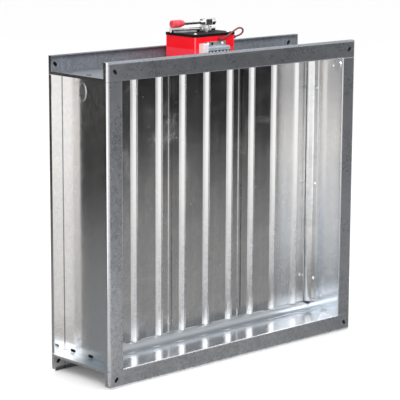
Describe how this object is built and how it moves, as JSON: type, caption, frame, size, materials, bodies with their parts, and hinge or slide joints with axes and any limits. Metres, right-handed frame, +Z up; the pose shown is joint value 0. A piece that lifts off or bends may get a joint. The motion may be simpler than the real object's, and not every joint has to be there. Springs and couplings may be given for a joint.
{
  "type": "motorized fire damper",
  "caption": "Square duct fire damper: flanged galvanised casing, ribbed vertical blades linked by a tie bar, and a red spring-return actuator with a reset lever on top.",
  "frame": {"origin": "middle of the footprint, at the lowest edge of the flanges", "axes": "+X along the row of blades, +Y from the front flange to the back one, +Z up towards the actuator"},
  "size_m": [0.56, 0.15, 0.5684],
  "materials": {
    "casing_zinc": "galvanised sheet, spangled",
    "blade_zinc": "galvanised sheet, bright",
    "seal_zinc": "rolled spring sheet",
    "plated_steel": "zinc plated",
    "polished_steel": "polished",
    "bearing_brass": "turned",
    "red_enamel": "gloss enamel",
    "black_enamel": "satin enamel",
    "red_plastic": "moulded",
    "motor_can": "drawn can",
    "switch_black": "moulded",
    "button_red": "moulded",
    "terminal_grey": "moulded",
    "terminal_dark": "moulded",
    "terminal_pale": "moulded",
    "lead_red": "sheathed lead"
  },
  "bodies": {
    "frame": {"casing_bottom": "casing_zinc", "casing_top": "casing_zinc", "casing_left": "casing_zinc", "casing_right": "casing_zinc", "wall_plug": "plated_steel", "sill_bottom": "seal_zinc", "sill_top": "seal_zinc", "jamb_left": "seal_zinc", "jamb_right": "seal_zinc", "jamb_rivets": "plated_steel", "lower_bushes": "plated_steel", "upper_bushes": "plated_steel", "housing_base": "red_enamel", "housing_cover": "red_enamel", "top_plate": "black_enamel", "mount_screws": "plated_steel", "cover_screws": "plated_steel", "motor_plate": "plated_steel", "gear_motor": "motor_can", "spring_barrel": "polished_steel", "barrel_rails": "plated_steel", "return_spring": "plated_steel", "shut_switch": "switch_black", "open_switch": "switch_black", "switch_bracket": "plated_steel", "terminal_block": "terminal_grey", "terminal_base": "terminal_dark", "terminal_screws": "plated_steel", "end_block": "terminal_pale", "terminal_strip": "plated_steel", "lead": "lead_red", "lead_bosses": "lead_red"},
    "drive": {"blade_2": "blade_zinc", "seam_strip_2": "blade_zinc", "lower_pivot_2": "plated_steel", "drive_shaft": "polished_steel", "crank_2": "plated_steel", "lever_hub": "polished_steel", "hub_bolt": "polished_steel", "lever_rod": "polished_steel", "rod_nut": "polished_steel", "lever_grip": "red_plastic", "sector_gear": "plated_steel", "return_pinion": "polished_steel", "switch_cams": "plated_steel"},
    "left_blade": {"blade_1": "blade_zinc", "lower_pivot_1": "plated_steel", "upper_pivot_1": "plated_steel", "crank_1": "plated_steel"},
    "right_blade": {"blade_3": "blade_zinc", "seam_strip_3": "blade_zinc", "lower_pivot_3": "plated_steel", "upper_pivot_3": "plated_steel", "crank_3": "plated_steel"},
    "link": {"tie_bar": "plated_steel"},
    "motor_rotor": {"motor_pinion": "bearing_brass"},
    "rack": {"return_rack": "polished_steel", "rack_piston": "plated_steel"},
    "shut_button": {"shut_switch_button": "button_red"},
    "open_button": {"open_switch_button": "button_red"}
  },
  "joints": [
    {"name": "drive_turn", "type": "hinge", "parent": "frame", "child": "drive", "pos_m": [0, 0.005, 0.26], "axis": [0, 0, -1], "range_deg": [0, 90], "stiffness_Nm_per_rad": 0.6, "springref_deg": -11.46},
    {"name": "left_blade_turn", "type": "hinge", "parent": "frame", "child": "left_blade", "pos_m": [-0.16, 0.005, 0.26], "axis": [0, 0, -1], "range_deg": [0, 90]},
    {"name": "right_blade_turn", "type": "hinge", "parent": "frame", "child": "right_blade", "pos_m": [0.16, 0.005, 0.26], "axis": [0, 0, -1], "range_deg": [0, 90]},
    {"name": "link_turn", "type": "hinge", "parent": "drive", "child": "link", "pos_m": [0.01414, -0.00914, 0.4985], "axis": [0, 0, -1], "range_deg": [-90, 0]},
    {"name": "motor_turn", "type": "hinge", "parent": "frame", "child": "motor_rotor", "pos_m": [-0.02128, 0.02628, 0.5125], "axis": [0, 0, -1], "range_deg": [-360, 0]},
    {"name": "rack_slide", "type": "slide", "parent": "frame", "child": "rack", "axis": [0.9659, -0.2588, 0], "range_m": [0, 0.011], "deforming": ["return_spring"]},
    {"name": "shut_button_press", "type": "slide", "parent": "frame", "child": "shut_button", "axis": [1, 0, 0], "range_m": [0, 0.0006], "stiffness_N_per_m": 400},
    {"name": "open_button_press", "type": "slide", "parent": "frame", "child": "open_button", "axis": [1, 0, 0], "range_m": [0, 0.0006], "stiffness_N_per_m": 400}
  ],
  "couplings": [
    {"joint": "left_blade_turn", "follows": "drive_turn", "ratio": 1},
    {"joint": "right_blade_turn", "follows": "drive_turn", "ratio": 1},
    {"joint": "link_turn", "follows": "drive_turn", "ratio": -1},
    {"joint": "motor_turn", "follows": "drive_turn", "ratio": -4},
    {"joint": "rack_slide", "follows": "drive_turn", "m_per_rad": 0.007}
  ]
}
